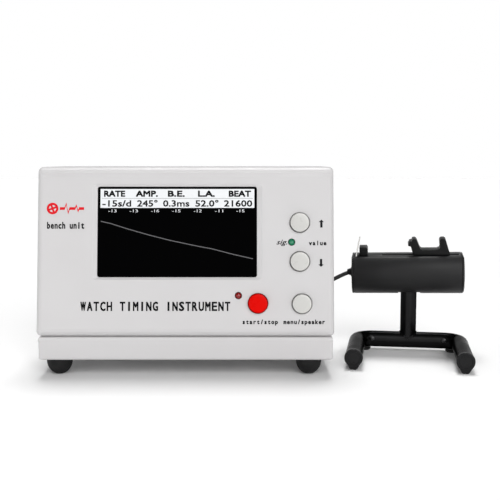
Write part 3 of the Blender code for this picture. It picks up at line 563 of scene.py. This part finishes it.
def make_tie():
    """A strap that holds the coil's turns together."""
    across, half = 0.0140, 0.0020
    inner = rounded(0.0146, 0.0056, 0.0016, (across, 0.00295))
    outer = rounded(0.0156, 0.0062, 0.0019, (across, 0.00315))
    rings = [ring_of(inner, -half, "Y"), ring_of(outer, -half, "Y")]
    rings += [ring_of(outer, half, "Y"), ring_of(inner, half, "Y")]
    turn = Matrix.Rotation(math.radians(-60), 4, "Z")
    place = TABLE @ Matrix.Translation(COIL_MIDDLE) @ turn
    mesh = smooth(loft(rings, closed=True))
    piece("cable_tie", mesh, place, ROOT, "rubber_black")


# --- Panel ----------------------------------------------------------------------------------


def make_keys():
    """Round key caps with a softened edge and a low dome, on a flange and a stem."""
    stem, flange = 0.0020, 0.0080
    flange_back, flange_front = -0.0043, -0.0033
    crown = 0.0002  # the dome's height
    rim = KEY_RISE - crown
    profile = [
        (stem, -0.0094),
        (stem, flange_back),
        (flange, flange_back),
        (flange, flange_front),
        (KEY_RADIUS, flange_front),
        (KEY_RADIUS, 0.0),
    ]
    lip = [(KEY_RADIUS - KEY_EDGE + r, rim - KEY_EDGE + h) for r, h in arc(KEY_EDGE, 0, 80, 6)]
    dome = [(KEY_RADIUS * s, rim + crown * (1 - s * s)) for s in (0.84, 0.6, 0.35, 0.12)]
    for name, place in KEYS.items():
        mesh = smooth(turned(profile + lip + dome, sides=72), 50)
        red = name == "start_stop"
        piece(
            f"{name}_key",
            mesh,
            PANEL @ Matrix.Translation((*place, 0)),
            f"{name}_button",
            "key_red" if red else "key_grey",
            [f"{name}_button"],
        )


def make_lamps():
    """Round-nosed lamps that reach back to the key board."""
    for name, (colour, spot) in LAMPS.items():
        nose = [(r, h - 0.0012) for r, h in arc(LAMP_RADIUS, 0, 86, 10)]
        body = [(LAMP_RADIUS, -0.0147), (LAMP_RADIUS, -0.0060)]
        mesh = smooth(turned(body + nose, sides=40))
        place = PANEL @ Matrix.Translation((*spot, 0))
        piece(f"{name}_led", mesh, place, ROOT, f"lamp_{colour}", [f"{name}_lamp"])


def extent(mesh, axis):
    """A mesh's lowest and highest coordinate on an axis, 0 for X."""
    values = [v.co[axis] for v in mesh.vertices]
    return min(values), max(values)


def join(meshes):
    """Several meshes as one."""
    made = bmesh.new()
    for mesh in meshes:
        made.from_mesh(mesh)
    mesh = bpy.data.meshes.new("joined")
    made.to_mesh(mesh)
    made.free()
    return mesh


def flat_words(words, slant=0.0):
    """A line of lettering as a thin mesh, one unit thick."""
    font = bpy.data.curves.new("words", "FONT")
    font.body = words
    font.size = 1.0
    font.shear = slant
    font.extrude = 0.5
    font.resolution_u = 2
    return take_mesh(add_object("words", font))


CAPITAL = extent(flat_words("H"), 1)[1]  # the font's capital height at size 1
INK = 0.00004  # how far lettering stands up
FILM = 0.00002  # the thickness of each layer on the screen
SUNK = 0.00001  # how far lettering reaches into what it is printed on
FACE, SCREEN = 0.0, -0.0010  # heights of the panel's face and of the window's


def thicken(mesh, reach):
    """Lettering with its strokes widened by a reach on every side."""
    copies = []
    for across in (-1, 0, 1):
        for up in (-1, 0, 1):
            copy = mesh.copy()
            copy.transform(Matrix.Translation((reach * across, reach * up, 0)))
            copies.append(copy)
    return join(copies)


def even_words(text, left, right, base, up, slant, heavy):
    """Lettering that gives each letter the same room."""
    room = (right - left) / len(text)
    widest = 0.84 * room - 2 * heavy  # leaves a gap between letters
    shapes = {}
    for letter in set(text) - {" "}:
        mesh = flat_words(letter, slant)
        low, high = extent(mesh, 0)
        across = min(up, widest / (high - low))
        centred = Matrix.Translation((-(low + high) / 2, 0, 0))
        mesh.transform(Matrix.Diagonal((across, up, INK, 1)) @ centred)
        shapes[letter] = thicken(mesh, heavy)
    placed = []
    for number, letter in enumerate(text):
        if letter in shapes:
            copy = shapes[letter].copy()
            copy.transform(Matrix.Translation((left + (number + 0.5) * room, base, 0)))
            placed.append(copy)
    return join(placed)


def words(
    name,
    text,
    left,
    right,
    base,
    capital,
    material="ink_dark",
    lift=FACE,
    slot="black_plastic",
    heavy=0.0,
    even=False,
    slant=0.0,
):
    """Lettering between two edges, on a base line, with a capital height."""
    up = capital / CAPITAL
    if even:
        mesh = even_words(text, left, right, base, up, slant, heavy)
    else:
        mesh = flat_words(text, slant)
        low, high = extent(mesh, 0)
        across = (right - left) / (high - low)
        start = Matrix.Translation((left - low * across, base, 0))
        mesh.transform(start @ Matrix.Diagonal((across, up, INK, 1)))
        if heavy:
            mesh = thicken(mesh, heavy)
    mesh.transform(Matrix.Translation((0, 0, lift + INK / 2 - SUNK)))
    piece(name, mesh, PANEL, ROOT, material)


def inlay(name, outline, material, lift=FACE, thick=INK):
    """A flat printed shape."""
    piece(name, prism(outline, lift - SUNK, lift + thick), PANEL, ROOT, material)


def stroke(points, width):
    """The outline of a line of a width through points, from left to right."""
    half = width / 2
    return [(x, y + half) for x, y in points] + [(x, y - half) for x, y in reversed(points)]


def make_panel_marks():
    """The title, the key labels, the arrows and a small wheel emblem."""
    words("title", "WATCH TIMING INSTRUMENT", -0.0644, 0.0280, 0.0106, 0.0052, heavy=0.00023, even=True)
    words("unit_label", "bench unit", -0.0853, -0.0620, 0.0610, 0.0039, heavy=0.00018, even=True)
    for name, text, left, right, base in (
        ("start_stop_label", "start/stop", 0.0348, 0.0570, 0.0025),
        ("menu_label", "menu/speaker", 0.0600, 0.0858, 0.0025),
        ("value_label", "value", 0.0757, 0.0869, 0.0508),
    ):
        words(name, text, left, right, base, 0.0025, heavy=0.00015, even=True)
    words("signal_label", "sig.", 0.0560, 0.0625, 0.0512, 0.0030, heavy=0.00006, slant=0.35)
    half, head, shaft, neck = 0.00245, 0.00160, 0.00070, 0.0009
    for name, x, middle, sign in (("up_arrow", 0.0836, 0.0640, 1), ("down_arrow", 0.0833, 0.0398, -1)):
        outline = [
            (x, middle + sign * half),
            (x - sign * head, middle + sign * neck),
            (x - sign * shaft, middle + sign * neck),
            (x - sign * shaft, middle - sign * half),
            (x + sign * shaft, middle - sign * half),
            (x + sign * shaft, middle + sign * neck),
            (x + sign * head, middle + sign * neck),
        ]
        inlay(name, outline, "ink_dark")
    make_emblem((-0.0818, 0.0733))


def make_emblem(middle):
    """A balance wheel and the beat line that it makes, in red."""
    rim, inside, spoke, half = 0.0036, 0.0022, 0.0027, 0.00060
    rings = []
    for radius, lift in ((rim, -SUNK), (rim, INK), (inside, INK), (inside, -SUNK)):
        rings.append(ring_of(circle(radius, 48, middle), lift, "Z"))
    wheel = loft(rings, closed=True)
    centre = Vector(middle)
    for turn in (0.35, 0.35 + math.pi / 2):
        along = Vector((math.cos(turn), math.sin(turn)))
        side = Vector((-along.y, along.x)) * half
        ends = [centre - along * spoke - side, centre + along * spoke - side]
        ends += [centre + along * spoke + side, centre - along * spoke + side]
        bar = prism([tuple(p) for p in ends], -SUNK, INK)
        wheel = combine(wheel, bar, "UNION")
    piece("emblem_wheel", wheel, PANEL, ROOT, "ink_red")
    x, y = middle[0] + 0.0045, middle[1]
    beat = [(0, 0), (0.0030, 0), (0.0039, 0.0030), (0.0051, -0.0028), (0.0060, 0), (0.0094, 0)]
    beat += [(0.0102, 0.0019), (0.0112, -0.0017), (0.0119, 0), (0.0149, 0)]
    line = stroke([(x + a, y + b) for a, b in beat], 0.0017)
    inlay("emblem_beat", line, "ink_red")


def screen_x(share):
    """Across the lit area, from 0 at its left to 1 at its right."""
    return LIT_LEFT + LIT_WIDTH * share


def make_screen():
    """The readout: headings, values, a row of recent rates and the trace."""
    top, split, foot = 0.0855, 0.0797, 0.0738
    middle = (screen_x(0) + screen_x(1)) / 2
    field = rectangle(screen_x(1) - screen_x(0), top - foot, (middle, (top + foot) / 2))
    inlay("readout_field", field, "screen_white", SCREEN, FILM)
    rule = rectangle(0.0930, 0.00018, (middle, split))
    inlay("readout_rule", rule, "screen_grey", SCREEN + FILM, FILM)
    columns = (  # each heading and value with its left and right edges across the lit area
        ("rate", "RATE", 0.025, 0.158, "-15s/d", 0.014, 0.198),
        ("amplitude", "AMP.", 0.232, 0.370, "245°", 0.240, 0.370),
        ("beat_error", "B.E.", 0.440, 0.545, "0.3ms", 0.408, 0.576),
        ("lift_angle", "L.A.", 0.636, 0.740, "52.0°", 0.618, 0.766),
        ("beat", "BEAT", 0.836, 0.976, "21600", 0.804, 0.985),
    )
    ink = ("screen_ink", SCREEN + FILM, "display")
    for name, heading, a, b, value, c, d in columns:
        words(f"{name}_heading", heading, screen_x(a), screen_x(b), 0.0809, 0.0034, *ink, 0.00022)
        words(f"{name}_value", value, screen_x(c), screen_x(d), 0.0747, 0.0037, *ink, 0.00013)
    lit = ("screen_white", SCREEN, "display")
    for number, rate in enumerate((-13, -13, -16, -15, -12, -11, -15)):
        left = screen_x(0.052 + 0.1385 * number)
        words(f"past_rate_{number + 1}", str(rate), left, left + 0.0050, 0.0711, 0.0017, *lit)
    heights = (0.0655, 0.0642, 0.0610, 0.0572, 0.0538, 0.0517, 0.0500, 0.0486, 0.0452, 0.0424)
    shares = (0.003, 0.066, 0.171, 0.310, 0.450, 0.555, 0.640, 0.722, 0.860, 0.990)
    trace = [(screen_x(share), height) for share, height in zip(shares, heights)]
    inlay("trace", stroke(trace, 0.00055), "screen_grey", SCREEN, FILM)


def make_feet():
    """Domed rubber feet with a short straight collar."""
    last, chamfer = math.radians(72), 0.0004
    profile = [
        (0.0055, FOOT_TOP),
        (FOOT_RADIUS - chamfer, FOOT_TOP),
        (FOOT_RADIUS, FOOT_TOP - chamfer),
    ]
    for k in range(13):
        turn = last * k / 12
        height = FOOT_DOME * (1 - math.sin(turn) / math.sin(last))
        profile.append((FOOT_RADIUS * math.cos(turn), height))
    for row, y in FOOT_ROWS.items():
        for side, x in FOOT_COLUMNS.items():
            mesh = smooth(turned(profile, sides=56))
            place = TABLE @ Matrix.Translation((x, y, 0))
            stands_for = [f"case_foot_{row}_{side}"]
            piece(f"foot_{row}_{side}", mesh, place, ROOT, "rubber_black", stands_for)


# --- Stand ----------------------------------------------------------------------------------


def bent_path(steps=14):
    """The base pipe's centreline: leg, bend, bar, bend, leg, as (x, y) points."""
    x, y = LEG_ACROSS - BEND, -BEND
    turns = [math.radians(90 * k / steps) for k in range(steps + 1)]
    right = [(x + BEND * math.cos(t), y + BEND * math.sin(t)) for t in turns]
    right = [(LEG_ACROSS, -LEG_LENGTH)] + right
    return right + [(-a, b) for a, b in reversed(right)]


def make_base_tube():
    """The bent pipe that the stand rests on."""
    path = [Vector((x, y, BAR_HEIGHT)) for x, y in bent_path()]

    def rings(radius):
        """Rings of a radius along the path, each square to it."""
        made = []
        for before, here, after in zip([path[0]] + path, path, path[1:] + [path[-1]]):
            side = (after - before).normalized().cross(Vector((0, 0, 1)))
            made.append([here + side * a + Vector((0, 0, b)) for a, b in circle(radius, 40)])
        return made

    mesh = loft(rings(PIPE) + rings(PIPE_INSIDE)[::-1], closed=True)
    piece("base_pipe", smooth(mesh, 50), STAND, ROOT, "enamel_black", ["stand_base_tube"])


def make_post():
    """The upright pipe, mitred on the bar, with its weld bead."""
    profile = [(POST, BAR_HEIGHT), (POST, POST_TOP), (PIPE_INSIDE, POST_TOP), (PIPE_INSIDE, BAR_HEIGHT)]
    mesh = turned(profile, closed=True)
    saddle = turned([(PIPE + GAP, -0.02), (PIPE + GAP, 0.02)], "X", (0, BAR_HEIGHT), 64)
    mesh = combine(mesh, saddle)
    piece("post_pipe", smooth(mesh, 50), STAND, ROOT, "enamel_black", ["stand_post"])
    make_weld_bead()


def make_weld_bead(steps=64, ripples=11):
    """A rippled bead along the seam where the round post meets the round bar."""
    lift, thick, ripple = 0.00015, 0.00055, 0.00012
    seam = []
    for x, y in circle(POST, steps):
        z = BAR_HEIGHT + math.sqrt(max(0.0, (PIPE + lift) ** 2 - y * y))
        seam.append(Vector((x, y, z)))
    rings = []
    for k, here in enumerate(seam):
        ahead = (seam[(k + 1) % steps] - seam[k - 1]).normalized()
        out = Vector((here.x, here.y, 0)).normalized()
        up = ahead.cross(out).normalized()
        size = thick + ripple * math.sin(2 * math.pi * ripples * k / steps)
        rings.append([here + size * (out * a + up * b) for a, b in circle(1.0, 8)])
    bead = smooth(loft(rings, closed=True), 80)
    piece("weld_bead", bead, STAND, ROOT, "enamel_black")


def make_leg_caps():
    """Rubber caps in the legs' front ends, each with a pointed foot under it."""
    front = -LEG_LENGTH - GAP
    rim, inside = PIPE + 0.0003, PIPE_INSIDE - GAP
    depth, corner = 0.0018, 0.0006
    profile = [(inside, front + 0.0100), (inside, front), (rim, front), (rim, front - depth)]
    profile += [(rim - corner + r, front - depth - h) for r, h in arc(corner, 0, 90, 5)]
    profile += [(rim - 0.0016, front - depth - corner), (rim - 0.0018, front - 0.0021)]
    point = [(-0.0052, BAR_HEIGHT - 0.0018), (-0.0026, 0.0009), (-0.0017, 0.0002), (-0.0009, 0.0)]
    for side, sign in (("left", -1), ("right", 1)):
        x = sign * LEG_ACROSS
        mesh = turned(profile, "Y", (x, BAR_HEIGHT), 56)
        nub = [(x + a, b) for a, b in point] + [(x - a, b) for a, b in reversed(point)]
        mesh = combine(mesh, prism(nub, front - 0.0020, front - 0.0001, "Y"), "UNION")
        piece(f"leg_end_{side}", smooth(mesh), STAND, ROOT, "cap_black", [f"leg_cap_{side}"])


def d_shape(radius, flat, sides=112):
    """A circle cut off by a flat at the top, as (y, z) points."""
    start = math.acos(flat / radius)
    step = (2 * math.pi - 2 * start) / (sides - 1)
    turns = [start + k * step for k in range(sides)]
    return [(radius * math.sin(t), radius * math.cos(t)) for t in turns]


def post_sweep():
    """The (y, z) outline that the post passes through as the tube rolls, with its clearance."""
    first, last = -HEAD_ROLL, ROLL_RANGE - HEAD_ROLL
    near, far, side = 0.0050, 0.0200, PIPE + 0.0004

    def at(turn, reach, offset):
        """A point below the axis by a reach and behind it by an offset, swung by a turn."""
        y, z = offset, -reach
        return (y * math.cos(turn) - z * math.sin(turn), y * math.sin(turn) + z * math.cos(turn))

    sweep = [at(first + (last - first) * k / 16, far, 0.0) for k in range(17)]
    start = [at(first, near, -side), at(first, far, -side)]
    return start + sweep + [at(last, far, side), at(last, near, side)]


def make_tube():
    """The microphone tube, with the jaw's slot in its flat and the post's slot below."""
    outer = d_shape(TUBE, TUBE_FLAT)
    inner = d_shape(TUBE - TUBE_WALL, TUBE_FLAT - TUBE_WALL)
    rings = [(outer, TUBE_LEFT), (outer, TUBE_RIGHT), (inner, TUBE_RIGHT), (inner, TUBE_LEFT)]
    mesh = loft([ring_of(outline, x, "X") for outline, x in rings], closed=True)
    slot = block((GUIDE_SLOT[0], -GUIDE_SLOT_HALF, 0.005), (GUIDE_SLOT[1], GUIDE_SLOT_HALF, 0.02))
    mesh = combine(mesh, slot)
    mesh = combine(mesh, prism(post_sweep(), -POST_SLOT_HALF, POST_SLOT_HALF, "X"))
    mesh = smooth(bevel(mesh, 0.00025, 2, 42))
    piece("tube_shell", mesh, HEAD, HEAD_BODY, "tube_black", ["mic_tube"])


def make_tube_caps():
    """The tube's end caps: the left one has a hole for the cable."""
    plug = d_shape(TUBE - TUBE_WALL - GAP, TUBE_FLAT - TUBE_WALL - GAP)
    plug_depth, rod_hole, cable_hole = 0.0036, 0.0018, 0.0027
    for side, sign, end, corner in (("right", 1, TUBE_RIGHT, 0.0014), ("left", -1, -TUBE_LEFT, 0.0005)):
        face = end + GAP
        rings = [(plug, face - plug_depth), (plug, face), (d_shape(TUBE, TUBE_FLAT), face)]
        for inward, out in arc(corner, 0, 90, 6):
            shrink = corner - inward
            outline = d_shape(TUBE - shrink, TUBE_FLAT - shrink)
            rings.append((outline, end + CAP_DEPTH - corner + out))
        mesh = loft([ring_of(outline, sign * x, "X") for outline, x in rings])
        socket = [(rod_hole, sign * (face - 0.01)), (rod_hole, sign * (face - 0.0008))]
        mesh = combine(mesh, turned(socket, "X", (0, ROD_HEIGHT), 32))
        if side == "left":
            mesh = combine(mesh, turned([(cable_hole, -0.05), (cable_hole, -0.02)], "X"))
        stands_for = [f"tube_cap_{side}"]
        piece(f"tube_end_{side}", smooth(mesh), HEAD, HEAD_BODY, "tube_black", stands_for)


def make_fixed_jaw():
    """The jaw that the watch rests against, with two grooves in its face."""
    foot, top, back, face = TUBE_FLAT + GAP, 0.0182, -0.0340, -0.0284
    outline = [(back, foot), (face, foot), (face, 0.0170), (-0.0292, top), (back, top)]
    mesh = prism(outline, -JAW_HALF, JAW_HALF, "Y")
    for height in (0.0140, 0.0156):
        groove = [(-0.0290, height), (-0.0270, height - 0.0005), (-0.0270, height + 0.0005)]
        mesh = combine(mesh, prism(groove, -0.01, 0.01, "Y"))
    mesh = smooth(bevel(mesh, 0.00035, 3, 35))
    piece("rest_jaw", mesh, HEAD, HEAD_BODY, "moulded_black", ["fixed_jaw"])


def make_sliding_jaw():
    """The sliding jaw: a toothed block, a thumb tab, and a shoe on the rod inside the tube."""
    foot = TUBE_FLAT + GAP
    outline = [
        (0.0029, foot),
        (0.0012, 0.0186),
        (-0.0006, 0.0191),
        (-0.0007, 0.0205),
        (0.0000, 0.0207),
        (0.0001, 0.0221),
        (0.0019, 0.0223),
        (0.0021, 0.0235),
        (0.0028, 0.0238),
        (0.0043, 0.0238),
        (0.0052, 0.0230),
        (0.0074, 0.0175),
        (0.0080, 0.0166),
        (0.0090, 0.0162),
        (0.0191, 0.0162),
        (0.0203, 0.0168),
        (0.0209, 0.0180),
        (0.0206, 0.0222),
        (0.0210, 0.0233),
        (0.0219, 0.0238),
        (0.0238, 0.0238),
        (0.0248, 0.0231),
        (0.0276, 0.0134),
        (0.0276, foot),
    ]
    mesh = bevel(prism(outline, -JAW_HALF, JAW_HALF, "Y"), 0.0006, 3, 50)
    neck = GUIDE_SLOT_HALF - GAP
    mesh = combine(mesh, block((0.0090, -neck, 0.0080), (0.0190, neck, 0.0130)), "UNION")
    mesh = combine(mesh, block((0.0082, -0.0042, 0.0043), (0.0200, 0.0042, 0.0098)), "UNION")
    mesh = combine(mesh, turned([(ROD_BORE, 0.0), (ROD_BORE, 0.03)], "X", (0, ROD_HEIGHT), 32))
    mesh = smooth(mesh, 30)
    piece("thumb_jaw", mesh, HEAD, "sliding_jaw", "moulded_black", ["sliding_jaw"])


# --- Stage ----------------------------------------------------------------------------------


def make_floor():
    """A plain pale floor, far wider than the view."""
    half = 6
    corners = [(-half, -half, 0), (half, -half, 0), (half, half, 0), (-half, half, 0)]
    mesh = bpy.data.meshes.new("floor")
    mesh.from_pydata(corners, [], [(0, 1, 2, 3)])
    mesh.materials.append(LOOKS["floor_white"])
    add_object("floor", mesh)


def strip_light(name, place, target, width, height, power):
    """An upright light panel that faces a target."""
    data = bpy.data.lights.new(name, "AREA")
    data.energy = power
    data.shape = "RECTANGLE"
    data.size = width
    data.size_y = height
    light = add_object(name, data)
    light.location = place
    light.rotation_euler = (Vector(target) - Vector(place)).to_track_quat("-Z", "Y").to_euler()


def sun_light(name, turn, energy, width):
    """Even light over the whole floor, as wide as an angle in degrees."""
    data = bpy.data.lights.new(name, "SUN")
    data.energy = energy
    data.angle = math.radians(width)
    light = add_object(name, data)
    light.rotation_euler = [math.radians(angle) for angle in turn]


def make_lights():
    """Soft light from above, a fill from the front, and two strips for the pipes' highlights."""
    sun_light("sky_light", turn=(-18, 0, 0), energy=2.3, width=24)
    sun_light("front_light", turn=(56, 0, 16), energy=1.5, width=34)
    stand = (0.1, 0.03, 0.04)
    for name, place in (("left_strip", (-0.377, -0.733, 0.12)), ("right_strip", (0.393, -0.82, 0.12))):
        strip_light(name, place, stand, width=0.08, height=0.22, power=0.8)


def make_sky():
    """A bright horizon that darkens upwards, for what the glossy pieces mirror."""
    world = bpy.data.worlds.new("studio")
    world.use_nodes = True
    nodes, links = world.node_tree.nodes, world.node_tree.links
    place = nodes.new("ShaderNodeTexCoord")
    split = nodes.new("ShaderNodeSeparateXYZ")
    links.new(place.outputs["Generated"], split.inputs["Vector"])
    ramp = nodes.new("ShaderNodeMapRange")
    ramp.inputs["From Min"].default_value = 0.22
    ramp.inputs["From Max"].default_value = 0.50
    ramp.inputs["To Min"].default_value = 1.0
    ramp.inputs["To Max"].default_value = 0.18
    links.new(split.outputs["Z"], ramp.inputs["Value"])
    back = nodes["Background"]
    back.inputs["Color"].default_value = (1.0, 1.0, 1.0, 1.0)
    links.new(ramp.outputs["Result"], back.inputs["Strength"])
    bpy.context.scene.world = world
    bpy.context.scene.view_settings.view_transform = "Standard"


make_camera()
make_cable()
make_strain_relief()
make_tie()
dress_nodes()
make_keys()
make_lamps()
make_panel_marks()
make_screen()
make_feet()
make_base_tube()
make_post()
make_leg_caps()
make_tube()
make_tube_caps()
make_fixed_jaw()
make_sliding_jaw()
make_floor()
make_lights()
make_sky()
